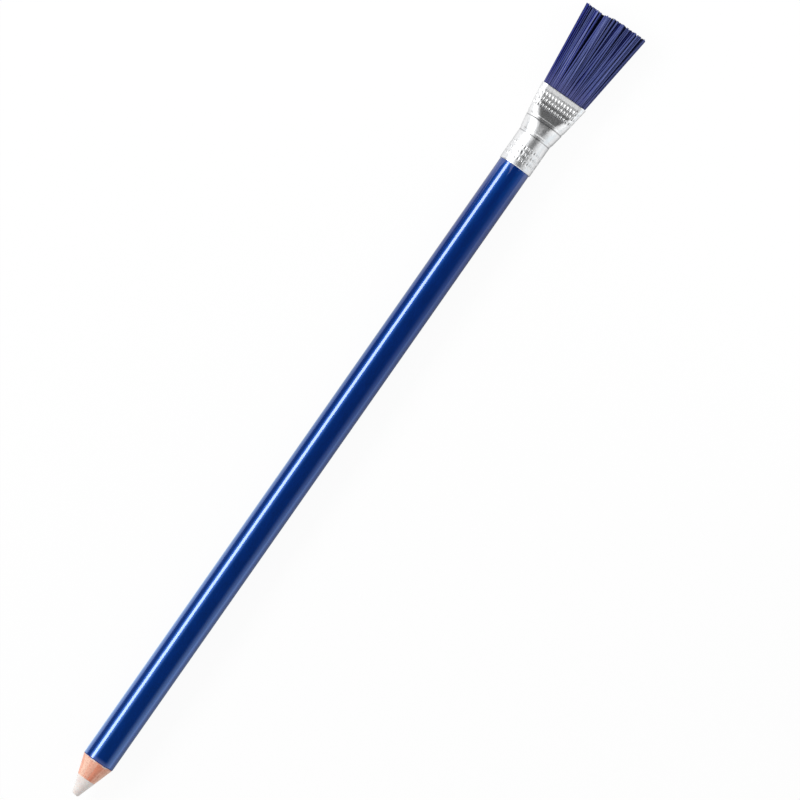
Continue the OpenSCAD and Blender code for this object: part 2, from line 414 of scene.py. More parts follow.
# In metres along the pencil.
DIMS = (-0.08, 0.05)
METAL_FROM = (0.058, 0.066)
COOL_TO = (0.02, 0.05)
# In metres aside, towards the lamp.
SHADE_FROM = (-0.04, -0.008)
SHADE_TO = (-0.003, 0.001)
TOUCH_FROM = (-0.016, -0.006)
TOUCH_TO = (0.005, 0.01)
CARD_FROM = (0.015, 0.03)

paper = bpy.data.materials.new("paper")
paper.use_nodes = True
paper.cycles.emission_sampling = "NONE"
sheet = Graph(paper.node_tree)
sheet.tree.nodes.clear()
rays = sheet.add("ShaderNodeLightPath")
seen, glossy = rays.output("Is Camera Ray"), rays.output("Is Glossy Ray")
here = sheet.split(sheet.add("ShaderNodeTexCoord").output("Object"))
along, aside = here.output("X"), here.output("Y")
beside_metal = along.rise(*METAL_FROM)
card = aside.rise(*CARD_FROM) * (1 - beside_metal)
share = seen * FLOOR_GLOW + glossy * (MIRRORED_GLOW + card * (1 - MIRRORED_GLOW))
beside_paint = GLOW_AT_POINT - along.rise(*DIMS) * (GLOW_AT_POINT - GLOW_AT_BRUSH)
mirrored = beside_paint * (1 - beside_metal) + beside_metal * GLOW_AT_METAL
shadow = (1 - aside.rise(*SHADE_TO)) * aside.rise(*SHADE_FROM)
mirrored = mirrored * (1 - shadow * (1 - beside_metal) * (1 - SHADED))
touching = aside.rise(*TOUCH_FROM) * (1 - aside.rise(*TOUCH_TO))
mirrored = mirrored * (1 - touching * beside_metal * (1 - TOUCHED))
mirrored = mirrored * (1 - card * (1 - FAR_DARK))
matt = sheet.add("ShaderNodeBsdfDiffuse", {}, PAPER_WHITE)
cool = sheet.blend(glossy * (1 - along.rise(*COOL_TO)), WHITE, COOL)
glow = sheet.add("ShaderNodeEmission", {}, cool, seen + glossy * mirrored)
mixed = sheet.add("ShaderNodeMixShader", {}, share, matt, glow)
sheet.add("ShaderNodeOutputMaterial", {}, mixed)
floor_mesh.materials.append(paper)
print("paper:", len(sheet.tree.nodes), "nodes")

# %% [markdown]
# ## The wood
#
# The casing is two slats of pale, fine-grained wood, glued round the core. Only the sharpened cone
# shows. A sharpener leaves shallow facets along the cone, each with a tone of its own, because it
# cuts the fibres at its own slant, and the pores show as short dark dashes. Each slat is a half
# shell, drawn as loops that run round the outside and back through the groove.

# %% What the sharpener leaves
FACETS = 13
FACET_START = 1.8
FACET_SWAY = 0.45
SWAY_START = 1.3
FACET_DRIFT = 0.04
FACET_DEPTH = 0.08
FACET_FADE = 1.5
RAGGED_TURN = 2.2


def facet_cut(x, angle):
    """How much the sharpener took off here: shallow flats that fade out at the lacquer."""
    fade = min(1.0, max(0.0, (cone_x(CASING_R) - x) / FACET_FADE))
    wander = FACET_SWAY * math.sin(2 * angle + SWAY_START) + FACET_DRIFT * x + FACET_START
    return fade * FACET_DEPTH * (1 - abs(math.sin(FACETS / 2 * angle + wander)))


def ragged(angle, seed):
    """An irregular shift for a cut edge, mostly between -1 and 1, the same after a full turn."""
    place = Vector((RAGGED_TURN * math.cos(angle), RAGGED_TURN * math.sin(angle), seed))
    return noise.noise(place) + 0.5 * noise.noise(place * 3)


print(f"{FACETS} facets, up to {FACET_DEPTH} mm deep")

# %% Cut the two slats
GROOVE_R = 2.19
SEAM = 0.012
ARC = 72
CONE_STATIONS = 26
BARREL_STATIONS = (9.2, 12.0, 60.0, 120.0, BARREL_END)
THIN_EDGE = 0.015
LEAST_WALL = 0.004
EDGE_WANDER = 0.1
EDGE_SEED = 3.0


def slat_loops(side):
    """The loops of one half shell: side is 1 for the upper slat and -1 for the lower."""
    first = cone_x(GROOVE_R + THIN_EDGE)
    cone = np.linspace(first, cone_x(CASING_R), CONE_STATIONS)
    loops = []
    for x in (*cone, *BARREL_STATIONS):
        outer, inner = [], []
        for angle in np.linspace(0, math.pi, ARC + 1):
            shift = EDGE_WANDER * ragged(side * angle, EDGE_SEED) if x == first else 0.0
            radius = min(CASING_R, POINT_R + (x + shift) * CONE_SLOPE)
            radius = max(GROOVE_R + LEAST_WALL, radius - facet_cut(x, side * angle))
            for line, r in ((outer, radius), (inner, GROOVE_R)):
                y, z = r * math.cos(angle), max(SEAM, r * math.sin(angle))
                line.append((x + shift, y, side * z))
        loops.append(np.array(outer + inner[::-1]))
    return loops


def make_slat(name, side):
    loops = slat_loops(side)
    points, faces = skin(loops)
    count, last = len(loops[0]), (len(loops) - 1) * len(loops[0])
    for i in range(ARC):
        near, far = i, count - 1 - i
        faces.append((near, far, far - 1, near + 1))
        faces.append((last + near, last + near + 1, last + far - 1, last + far))
    return make_piece(name, points, faces, crease=30)


casing_top = make_slat("casing_top", 1)
casing_bottom = make_slat("casing_bottom", -1)

# %% The finish of the cut wood
PALE_WOOD = (0.93, 0.60, 0.46)
WARM_WOOD = (0.77, 0.26, 0.153)
PORE = (0.42, 0.13, 0.07)


def paint_wood(graph, place):
    parts = graph.split(place)
    angle = (parts.output("Z") - AXIS_Z).math("ARCTAN2", parts.output("Y"))
    drift = (parts.output("X") + OVERALL / 2) * FACET_DRIFT
    wander = (angle * 2 + SWAY_START).math("SINE") * FACET_SWAY + drift
    facet = ((angle * (FACETS / 2) + wander + FACET_START) / math.pi).math("FLOOR")
    facet_tone = (facet * (math.pi / 2)).math("COSINE") * -0.5 + 0.5
    wave = graph.streaks(place, along=0.12, across=0.5, detail=3.0)
    fibres = graph.streaks(place, along=0.5, across=7.0, detail=4.0, roughness=0.6)
    dashes = graph.streaks(place, along=1.4, across=9.0, detail=1.0).rise(0.6, 0.72)
    blade = graph.streaks(place, along=9.0, across=0.7)
    share = (facet_tone * 0.6 + wave * 0.45 + fibres * 0.9 - 0.5).rise(0.05, 0.95)
    tone = graph.blend(share, WARM_WOOD, PALE_WOOD)
    return {
        "Base Color": graph.blend(dashes * 0.55, tone, PORE),
        "Roughness": 0.5 + fibres * 0.25,
        "Height": fibres * 0.7 + blade * 0.5 - dashes * 0.8,
    }


cut_wood = finish("cut_wood", paint_wood, relief=0.05)
for piece, node in ((casing_top, "casing_upper"), (casing_bottom, "casing_lower")):
    piece.data.materials.append(cut_wood)
    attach(piece, "pencil")
    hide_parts(node)

# %% [markdown]
# ## Turned pieces
#
# The eraser core and the lacquer coat are both turned: a profile swung round the axis. The Screw
# modifier or Spin would do that, but here a function also nudges each point by its angle, so a worn
# tip isn't quite round and a cut edge isn't quite straight.

# %% The helper that turns a profile
def turn_profile(profile, sides, nudge):
    """Loops of points from (x, radius) pairs, with nudge(x, radius, angle) applied to each."""
    loops = []
    for x, radius in profile:
        loop = []
        for k in range(sides):
            angle = 2 * math.pi * k / sides
            px, pr = nudge(x, radius, angle)
            loop.append((px, pr * math.cos(angle), pr * math.sin(angle)))
        loops.append(np.array(loop))
    return loops


def close_ends(points, faces, count, first_x, last_x):
    """Two more points on the axis, and triangles from each to the loop at its end."""
    last, pole = len(points) - count, len(points)
    faces += [(pole, (i + 1) % count, i) for i in range(count)]
    faces += [(last + i, last + (i + 1) % count, pole + 1) for i in range(count)]
    return np.vstack([points, (first_x, 0.0, 0.0), (last_x, 0.0, 0.0)]), faces


# %% [markdown]
# ## The eraser core
#
# The core is a firm, slightly see-through vinyl that rubs out ink. Its point was sharpened with the
# wood, and use has rounded its end. A little light is let into it with subsurface scattering, and
# its bump is a fine drag along the cone with a rougher patch at the worn tip.

# %% Wear down the tip
TIP_ROUND = 0.3
TIP_TURN = math.radians(90 - CONE_HALF_ANGLE)
TIP_FLAT_R = 0.58202
FLAT_RINGS = 4
ROUND_RINGS = 8
WORN_LENGTH = 0.7
WORN_ALONG = 0.07
WORN_ASIDE = 0.05
LEAN = 0.12
LEAN_ANGLE = 0.6
BITE_SCALE = 1.3
BITE_PLACE = Vector((5, 2, 8))


def wear(x, radius, angle):
    """The tip is worn unevenly and to a slant, and this fades out along the cone."""
    worn = math.exp(-x / WORN_LENGTH)
    place = Vector((radius * math.cos(angle), radius * math.sin(angle), x))
    bite = noise.noise(place * BITE_SCALE + BITE_PLACE)
    lean = LEAN * worn * math.cos(angle - LEAN_ANGLE) * radius
    moved_x = x + worn * WORN_ALONG * bite + max(0.0, lean)
    return moved_x, radius * (1 + worn * WORN_ASIDE * bite)


tip_profile = [(0.0, TIP_FLAT_R * k / FLAT_RINGS) for k in range(1, FLAT_RINGS)]
for k in range(ROUND_RINGS + 1):
    bend = TIP_TURN * k / ROUND_RINGS
    tip_profile.append((TIP_ROUND * (1 - math.cos(bend)), TIP_FLAT_R + TIP_ROUND * math.sin(bend)))
print(f"the worn tip is flat over {2 * TIP_FLAT_R:.2f} mm")

# %% Turn the core
CORE_R = 2.15
CORE_SIDES = 96
CORE_STATIONS = 22
CORE_X = (5.2, 60.0, BARREL_END)
CONE_GAP = 0.12

slope_x = np.linspace(tip_profile[-1][0] + CONE_GAP, cone_x(CORE_R), CORE_STATIONS)
cone_part = [(x, POINT_R + x * CONE_SLOPE) for x in slope_x]
core_profile = [*tip_profile, *cone_part, *((x, CORE_R) for x in CORE_X)]
core_loops = turn_profile(core_profile, CORE_SIDES, wear)
tip_x = float(core_loops[0][:, 0].mean())
core = make_piece("eraser_point", *close_ends(*skin(core_loops), CORE_SIDES, tip_x, BARREL_END))

# %% The finish of the vinyl
VINYL = (0.84, 0.785, 0.752)
VINYL_DEEP = (0.76, 0.68, 0.65)
SMUDGE = (0.36, 0.33, 0.32)
USED_LENGTH = 1.6


def paint_vinyl(graph, place):
    from_tip = graph.split(place).output("X") + OVERALL / 2
    cloud = graph.noise(place, scale=0.55, detail=3.0)
    drag = graph.streaks(place, along=0.9, across=6.0, detail=3.0)
    grain = graph.noise(place, scale=7.0)
    smudges = graph.noise(place, scale=2.4, detail=3.0).rise(0.35, 0.7)
    used = (1 - from_tip / USED_LENGTH).rise(0.0, 1.0) * smudges
    tone = graph.blend(cloud.rise(0.3, 0.75), VINYL, VINYL_DEEP)
    return {
        "Base Color": graph.blend(used * 0.25, tone, SMUDGE),
        "Roughness": 0.38 + drag * 0.25 + used * 0.2,
        "Height": drag * 0.6 + grain * 0.25 + used * grain,
    }


vinyl = finish(
    "vinyl", paint_vinyl, relief=0.035, IOR=1.47,
    Subsurface_Weight=0.3, Subsurface_Radius=(1.0, 0.8, 0.7), Subsurface_Scale=0.0007,
)
core.data.materials.append(vinyl)
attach(core, "pencil")
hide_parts("eraser_core")

# %% [markdown]
# ## The lacquer
#
# Many thin coats make a skin that can be seen where the sharpener cuts through it: filler and pale
# primer at the bottom, then colour. So the coat is a real tube with a sloped, slightly ragged end,
# not a colour on the wood, and the cut end has a finish of its own. Wet-looking paint is a coloured
# base under a clear coat. The waves in its gloss are broad and shallow, and hair-fine scratches show
# only in the highlight.

# %% Turn the coat
COAT_SIDES = 192
CUT_RINGS = 4
CUT_END_X = 10
RAGGED = 0.13
FINE_RAGGED = 0.04
RAGGED_SEED, FINE_SEED = 7.0, 9.0
CORNER = 0.03
CORNER_IN = 0.012
OUTSIDE_X = (10.2, 14.0, 40.0, 80.0, 120.0, 150.0, 167.0, BARREL_END)
INSIDE_X = (BARREL_END, 120.0, 40.0, 10.2)


def cut_edge(x, radius, angle):
    """The sloped end wanders along the barrel, and the rest stays true."""
    if x > CUT_END_X:
        return x, radius
    wander = RAGGED * abs(ragged(angle, RAGGED_SEED))
    return x + wander + FINE_RAGGED * ragged(angle * 3, FINE_SEED), radius


edge_in, edge_out = cone_x(CASING_R), cone_x(BARREL_R)
cut_length, cut_height = edge_out - edge_in, BARREL_R - CASING_R
cut = [k / CUT_RINGS for k in range(CUT_RINGS)]
slope = [(edge_in + cut_length * part, CASING_R + cut_height * part) for part in cut]
shoulder = [(edge_out - CORNER, BARREL_R - CORNER_IN), (edge_out + CORNER, BARREL_R)]
outside = [(x, BARREL_R) for x in OUTSIDE_X]
inside = [(x, CASING_R) for x in INSIDE_X]
coat_loops = turn_profile([*slope, *shoulder, *outside, *inside], COAT_SIDES, cut_edge)
coat = make_piece("lacquer_skin", *skin(coat_loops, joined_round=True))

# %% The finish of the paint
BLUE = (0.0002, 0.0135, 0.140)
BLUE_DEEP = (0.0002, 0.011, 0.115)
PRIMER = (0.78, 0.70, 0.66)
FILLER = (0.74, 0.36, 0.26)
COLOUR_DEPTH = (0.09, 0.05)


def paint_cut(graph, place):
    parts = graph.split(place)
    y, z = parts.output("Y"), parts.output("Z") - AXIS_Z
    radius = (y * y + z * z).math("SQRT")
    bare = graph.blend(graph.noise(place, scale=0.9).rise(0.45, 0.65), FILLER, PRIMER)
    coloured = radius.rise(*(BARREL_R - depth for depth in COLOUR_DEPTH))
    drag = graph.streaks(place, along=5.0, across=1.0)
    return {
        "Base Color": graph.blend(coloured, bare, BLUE),
        "Roughness": 0.5 + drag * 0.3,
        "Height": drag,
    }


def paint_lacquer(graph, place):
    waves = graph.streaks(place, along=0.25, across=0.9)
    dust = graph.noise(place, scale=11.0, detail=1.0).rise(0.7, 0.78)
    hairs = graph.streaks(place, along=0.35, across=14.0).rise(0.58, 0.8)
    tone = graph.blend(waves.rise(0.3, 0.7), BLUE, BLUE_DEEP)
    return {
        "Base Color": tone,
        "Roughness": 0.3 + hairs * 0.1,
        "Coat Weight": 1 - dust * 0.2,
        "Height": waves + dust * 0.25 + hairs * 0.06,
    }


lacquer = finish(
    "lacquer", paint_lacquer, relief=0.002, IOR=2.0, Specular_IOR_Level=1.0,
    Specular_Tint=(0.01, 0.19, 0.8), Coat_IOR=1.72, Coat_Roughness=0.03,
)
coat.data.materials.append(lacquer)
coat.data.materials.append(finish("cut_paint", paint_cut, relief=0.02))
for face in coat.data.polygons[: len(slope) * COAT_SIDES]:
    face.material_index = 1
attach(coat, "pencil")
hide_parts("lacquer_coat")

# %% [markdown]
# ## The ferrule
#
# The ferrule starts as a round tube. Two rings are rolled into it, a punch pins it to the wood, its
# far end is pressed flat, so that its section becomes two straight lines and two half circles, and
# rows of marks are knurled into it. The smooth part follows a rule along the pencil, so loops of
# points give it, each point at the same share of the way round. The marks repeat, so Geometry Nodes
# press them in afterwards.

# %% How the tube changes along the pencil
RIM_X = 168.1
RING_1_X = 175.6
RING_2_X = 179.3
RING_W = 0.9
RING_DEPTH = 0.08
SHOULDER = 0.22
PRESS_X = 177.5
FLAT_X = 185.2
LIP_X = 186.0
LIP = 0.17
MOUTH_X = 187.1
MOUTH_HALF_W = 5.8
MOUTH_HALF_T = 1.5
FLARE_CURVE = 0.9


def ease(t):
    k = min(1.0, max(0.0, t))
    return k * k * (3 - 2 * k)


def half_width(x):
    flare = max(0.0, (x - RING_1_X) / (MOUTH_X - RING_1_X)) ** FLARE_CURVE
    return COLLAR_R + (MOUTH_HALF_W - COLLAR_R) * flare


def half_thickness(x):
    """Pressed flat towards the mouth, where the crimp leaves a lip that stands up a little."""
    pressed = ease((x - PRESS_X) / (FLAT_X - PRESS_X))
    return COLLAR_R + (MOUTH_HALF_T - COLLAR_R) * pressed + LIP * max(0.0, x - LIP_X)


def ring_dip(x):
    dip = 0.0
    for start in (RING_1_X, RING_2_X):
        if start < x < start + RING_W:
            dip += RING_DEPTH * ease((x - start) / SHOULDER) * ease((start + RING_W - x) / SHOULDER)
    return dip


print(f"mouth of the ferrule: {2 * half_width(MOUTH_X):.2f} by {2 * half_thickness(MOUTH_X):.2f} mm")

# %% The oval section and the mark of the punch
AROUND = 320
PRICK_X = 171.5
PRICK_Y = 0.5
PRICK_R = 0.45
PRICK_DEPTH = 0.09


def prick(x, y, z):
    """How deep the point of a punch went here, which pinned the collar to the wood."""
    near = 1 - ((x - PRICK_X) ** 2 + (y - PRICK_Y) ** 2) / PRICK_R**2
    return PRICK_DEPTH * max(0.0, near) if z > 0 else 0.0


def oval_point(share, flat, radius):
    """A point at this share of the way round an oval, from the middle of its top."""
    # Half of the top, a round end, the bottom, the other end and the rest of the top.
    lengths = (flat, math.pi * radius, 2 * flat, math.pi * radius, flat)
    gone = share * sum(lengths)
    for part, length in enumerate(lengths):
        if gone <= length or part == 4:
            break
        gone -= length
    if part in (0, 2, 4):
        side = -1 if part == 2 else 1
        y = {0: gone, 2: flat - gone, 4: gone - flat}[part]
        return y, side * radius
    turned = gone / radius if radius > 0 else 0
    angle = math.pi / 2 - turned if part == 1 else -math.pi / 2 - turned
    centre = flat if part == 1 else -flat
    return centre + radius * math.cos(angle), radius * math.sin(angle)


def ferrule_loop(x, inset):
    """One loop of the tube, inset from its outside. Only the outside has the mark."""
    outer = half_thickness(x)
    flat = half_width(x) - outer
    radius = outer - ring_dip(x) - inset
    loop = []
    for k in range(AROUND):
        y, z = oval_point(k / AROUND, flat, outer)
        core_y = min(flat, max(-flat, y))
        shrunk = (radius - (prick(x, y, z) if inset == 0 else 0.0)) / outer
        loop.append((x, core_y + (y - core_y) * shrunk, z * shrunk))
    return np.array(loop)


# %% Draw the pressed tube
SHEET = 0.2
EDGE = 0.07
BEVEL_X = 0.02
BEVEL = 0.03
COLLAR_MARKS_X, COLLAR_MARKS_END = 169.3, 173.4
MOUTH_MARKS_X = 182.0
OUTER_SPANS = (
    (COLLAR_MARKS_X, 0.3), (COLLAR_MARKS_END, 0.11), (RING_1_X, 0.3), (RING_1_X + RING_W, 0.05),
    (RING_2_X, 0.25), (RING_2_X + RING_W, 0.05), (MOUTH_MARKS_X, 0.2), (LIP_X, 0.1),
    (MOUTH_X - EDGE, 0.15),
)
INNER_SPANS = ((RING_1_X, 1.2), (MOUTH_X - EDGE, 0.5))


def stations(start, spans):
    """Places along the pencil. Each span says where it ends and how finely it is cut."""
    places = []
    for end, step in spans:
        count = max(2, round((end - start) / step) + 1)
        places += list(np.linspace(start, end, count))[:-1]
        start = end
    return [*places, start]


wall = [(RIM_X, SHEET / 2), (RIM_X + BEVEL_X, BEVEL)]
wall += [(x, 0.0) for x in stations(RIM_X + EDGE, OUTER_SPANS)]
wall += [(MOUTH_X - BEVEL_X, BEVEL), (MOUTH_X, SHEET / 2), (MOUTH_X - BEVEL_X, SHEET - BEVEL)]
wall += [(x, SHEET) for x in stations(RIM_X + EDGE, INNER_SPANS)[::-1]]
wall += [(RIM_X + BEVEL_X, SHEET - BEVEL)]
tube_loops = [ferrule_loop(x, inset) for x, inset in wall]
ferrule = make_piece("ferrule_tube", *skin(tube_loops, joined_round=True), crease=60)

# %% [markdown]
# Each point of the tube is told how far round and how far along it is, whether it is outside, and
# how much painted shade the punch's pit gets. The knurling tree reads those, works out how near a
# point is to the middle of the nearest mark, along and around, and pushes it inwards by that. It
# keeps each mark's depth on its points too, for the painted shade in the marks. Its named inputs place
# a band of rows, so one tree presses the band on the collar and the one behind the mouth.

# %% Tell the points where they are
# How strongly the punch's pit is darkened: painted shade in the pit, stored with the marks' depths.
PRICK_DARK = 6.0
share_round = np.tile(np.arange(AROUND) / AROUND, len(wall))
place_along = np.repeat([x for x, _ in wall], AROUND)
on_outside = np.repeat([1.0 if inset == 0 else 0.0 for _, inset in wall], AROUND)
pricked = [
    prick(x, *oval_point(k / AROUND, 0.0, COLLAR_R)) * PRICK_DARK if inset == 0 else 0.0
    for x, inset in wall
    for k in range(AROUND)
]
known = {"round": share_round, "along": place_along, "outside": on_outside, "pressed": pricked}
for name, values in known.items():
    layer = ferrule.data.attributes.new(name, "FLOAT", "POINT")
    layer.data.foreach_set("value", np.asarray(values, np.float32))
print("marked", len(share_round), "points")

# %% The helpers that make and run a tree
WHOLE = ("Rows", "Marks round", "Strands across", "Steps", "Seed")


def new_tree(name, inputs, material):
    """A graph for a Geometry Nodes tree, and a function that gives an input of it by name."""
    tree = bpy.data.node_groups.new(name, "GeometryNodeTree")
    tree.is_modifier = True
    tree.interface.new_socket("Geometry", in_out="INPUT", socket_type="NodeSocketGeometry")
    tree.interface.new_socket("Geometry", in_out="OUTPUT", socket_type="NodeSocketGeometry")
    for label in inputs:
        kind = "NodeSocketInt" if label in WHOLE else "NodeSocketFloat"
        tree.interface.new_socket(label, in_out="INPUT", socket_type=kind)
    graph = Graph(tree, material)
    return graph, graph.add("NodeGroupInput").output


def end_tree(graph, geometry):
    """The last two nodes of every tree, and its output."""
    real = graph.add("GeometryNodeRealizeInstances", {}, geometry)
    dressed = graph.add("GeometryNodeSetMaterial", {}, Geometry=real, Material=graph.material)
    graph.add("NodeGroupOutput", {}, dressed)
    return graph.tree


def read(graph, name):
    return graph.add("GeometryNodeInputNamedAttribute", {"data_type": "FLOAT"}, name)


def store(graph, geometry, name, value):
    settings = {"data_type": "FLOAT", "domain": "POINT"}
    return graph.add(
        "GeometryNodeStoreNamedAttribute", settings, Geometry=geometry, Name=name, Value=value
    )


def apply_tree(piece, tree, sizes):
    """Runs a tree on a piece with these sizes, and keeps the result as its plain mesh."""
    modifier = piece.modifiers.new(tree.name, "NODES")
    modifier.node_group = tree
    for label, value in sizes.items():
        modifier[tree.interface.items_tree[label].identifier] = value
    state = bpy.context.evaluated_depsgraph_get()
    shaped = piece.evaluated_get(state)
    mesh = bpy.data.meshes.new_from_object(shaped, preserve_all_data_layers=True, depsgraph=state)
    mesh.name = piece.name
    piece.modifiers.remove(modifier)
    piece.data = mesh
    triangles = sum(len(face.vertices) - 2 for face in mesh.polygons)
    print(f"{piece.name}: {tree.name} gives {triangles} triangles")


# %% [markdown]
# Pressed and handled aluminium isn't one grey. It has dull clouds, fine lines round the tube, soft
# creases and small pits. Its colour is also darkened beside each ring and in every mark, as painted
# shade where those hollows would lie in shadow.

# %% The finish of the pressed metal
METAL = (0.94, 0.943, 0.95)
METAL_DULL = (0.76, 0.765, 0.775)
# The grey that painted shade in the hollows, and the small pits, darken the metal towards.
SHADE_AND_PIT_GREY = (0.42, 0.42, 0.43)
RING_SHADE_REACH = (0.08, 0.2)


def read_paint(graph, name):
    """A number stored on the points, as a wire of a material."""
    return graph.add("ShaderNodeAttribute", {"attribute_name": name}).output("Fac")


# Painted shade along the foot of a rolled ring, fading out within a fraction of a millimetre.
def ring_shade_at(from_tip, ring_x):
    return 1 - (from_tip - ring_x).math("ABSOLUTE").rise(*RING_SHADE_REACH)


def paint_metal(graph, place):
    pressed = read_paint(graph, "pressed")
    cloud = graph.noise(place, scale=0.5, detail=3.0)
    brushed = graph.streaks(place, along=5.0, across=0.6, detail=3.0)
    creases = graph.streaks(place, along=0.8, across=1.6, detail=4.0, roughness=0.62)
    pits = graph.noise(place, scale=6.0).rise(0.66, 0.76)
    from_tip = graph.split(place).output("X") + OVERALL / 2
    # Painted shade: the colour darkens beside each rolled ring and, by the stored depth, in the
    # knurled and punched marks. The small pits darken it a little as their own tone.
    ring_shade = ring_shade_at(from_tip, RING_1_X) + ring_shade_at(from_tip, RING_2_X)
    tone = graph.blend(cloud.rise(0.45, 0.8) * 0.35, METAL, METAL_DULL)
    return {
        "Base Color": graph.blend(pressed * 3 + pits * 0.2 + ring_shade * 0.8, tone, SHADE_AND_PIT_GREY),
        "Roughness": 0.28 + cloud * 0.08 + brushed * 0.06 + pits * 0.1,
        "Height": creases + brushed * 0.12 - pits * 0.1,
    }


pressed_metal = finish("pressed_metal", paint_metal, relief=0.035, Metallic=1.0)

# %% Build the knurling tree
KNURL_INPUTS = ("First row", "Row pitch", "Rows", "Marks round", "Length", "Depth", "Easing")
MARK_NARROWING = 3.4

g, given = new_tree("knurling", KNURL_INPUTS, pressed_metal)
row = ((read(g, "along") - given("First row")) / given("Row pitch")).math("ROUND")
row = row.math("MAXIMUM", 0.0).math("MINIMUM", given("Rows") - 1)
row_x = given("First row") + row * given("Row pitch")
from_row = (read(g, "along") - row_x) / (given("Length") * 0.5)
near_row = (1 - from_row * from_row).math("MAXIMUM", 0.0)
mark = read(g, "round") * given("Marks round")
from_mark = (mark.math("FRACT") - 0.5) * MARK_NARROWING
near_mark = (1 - from_mark * from_mark).math("MAXIMUM", 0.0)
press = near_row.math("SQRT") * near_mark.math("SQRT") * read(g, "outside")
press = press * (given("Depth") - row * given("Easing"))
normal = g.add("GeometryNodeInputNormal")
inwards = g.add("ShaderNodeVectorMath", {"operation": "SCALE"}, normal, Scale=press * -MM)
moved = g.add("GeometryNodeSetPosition", {}, Geometry=given("Geometry"), Offset=inwards)
# The depth of each mark stays on the points, and the metal's finish darkens its colour by it: painted
# shade in the marks.
total = read(g, "pressed").math("MAXIMUM", press)
knurling = end_tree(g, store(g, moved, "pressed", total))
print("knurling tree:", len(knurling.nodes), "nodes")

# %% Press the two bands
BAND = {"Rows": 3, "Marks round": 32, "Length": 0.8}
COLLAR_BAND = {**BAND, "First row": 169.8, "Row pitch": 1.42, "Depth": 0.09, "Easing": 0.0}
MOUTH_BAND = {**BAND, "First row": 182.48, "Row pitch": 1.35, "Depth": 0.18, "Easing": 0.035}
apply_tree(ferrule, knurling, COLLAR_BAND)
apply_tree(ferrule, knurling, MOUTH_BAND)
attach(ferrule, "pencil")
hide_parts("ferrule")

# %% [markdown]
# ## The resin
#
# Resin was poured on the roots of the bristles to hold them. It is hidden in the ferrule, so its CAD
# solid stays as it is, but it gets a finish of its own: amber, a little cloudy, with small bubbles.

# %% The finish of the resin
AMBER = (0.62, 0.40, 0.12)
AMBER_DEEP = (0.42, 0.24, 0.06)
BUBBLE = (0.8, 0.66, 0.4)


def paint_resin(graph, place):
    cloud = graph.noise(place, scale=0.6, detail=3.0)
    bubbles = graph.add("ShaderNodeTexVoronoi", {}, Vector=place, Scale=1.6)
    bubble = 1 - bubbles.rise(0.12, 0.2)
    tone = graph.blend(cloud.rise(0.3, 0.7), AMBER, AMBER_DEEP)
    return {
        "Base Color": graph.blend(bubble * 0.6, tone, BUBBLE),
        "Roughness": 0.22 + cloud * 0.2,
        "Height": bubble + cloud * 0.4,
    }


resin = finish("resin", paint_resin, relief=0.05, Coat_Weight=0.4)
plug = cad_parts["resin_plug"]
plug.data.materials.clear()
plug.data.materials.append(resin)
print("resin plug keeps its CAD solid")

# %% [markdown]
# ## The bristles
#
# Nearly four hundred nylon filaments are packed tight in the flat mouth, and fan out to an edge that
# was trimmed at a slant. Packed, they read as one smooth block. Further out they draw together into
# clumps with gaps between them, and the strands deep inside the tuft are painted near black as
# painted shade, so the gaps look dark. Hair particles could do it, but a Geometry Nodes tree gives
# closed tubes of real thickness, and every strand can follow the ferrule's shape down to its root.

# %% The finish of the nylon
NYLON = (0.080, 0.100, 0.262)
NYLON_DARK = (0.007, 0.009, 0.060)
NYLON_PALE = (0.27, 0.30, 0.58)
NYLON_BLUE = (0.018, 0.024, 0.24)
# Near black, painted as shade on the strands deep inside the tuft.
NYLON_SHADE = (0.002, 0.003, 0.03)
NYLON_ROOT = (0.085, 0.085, 0.21)


def paint_nylon(graph, place):
    shade, up = read_paint(graph, "shade"), read_paint(graph, "up")
    streak = graph.streaks(place, along=0.12, across=3.0)
    light = shade * 0.8 + streak * 0.4 - 0.1
    tone = graph.blend(light.rise(0.1, 0.6), NYLON_DARK, NYLON)
    tone = graph.blend(light.rise(0.62, 0.95) * 0.8, tone, NYLON_PALE)
    tone = graph.blend(read_paint(graph, "blue").rise(0.7, 0.9) * 0.75, tone, NYLON_BLUE)
    tone = graph.blend((1 - up.rise(0.0, 0.3)) * 0.65, tone, NYLON_ROOT)
    # Painted shade: strands deep inside the fanned tuft are darkened almost to black, as the outer
    # strands would shade them.
    inside = 1 - read_paint(graph, "surface").rise(0.35, 0.7)
    return {
        "Base Color": graph.blend(inside * up.rise(0.0, 0.3) * 0.95, tone, NYLON_SHADE),
        "Roughness": 0.4 + streak * 0.2,
        "Height": streak,
    }


nylon = finish(
    "nylon", paint_nylon, relief=0.01,
    IOR=1.53, Specular_IOR_Level=0.3, Specular_Tint=(0.3, 0.38, 1.0),
)

# %% [markdown]
# The tree lays a grid of points, shifts every second row by half a step for a tight packing, and
# deletes the corners outside the oval of the mouth. On each point it sets a straight line. Then it
# moves every point of every line: across the section of the ferrule while it is inside, and along
# the fan once it is out. A Voronoi texture gives each tip the middle of its clump to lean towards.
# The inputs From and To say which part of the strands to make, so the set roots and the free tuft
# come from one tree and meet just inside the mouth.

# %% Place the roots and their random draws
STRAND_INPUTS = (
    "From", "To", "Mouth", "End", "Strands across", "Rows", "Root width", "Root thickness",
    "Tip width", "Tip thickness", "Radius", "Clump size", "Clump", "Wander", "Trim", "Slant",
    "Steps", "Seed",
)
OVAL_REACH = 0.253
JITTER = 0.2

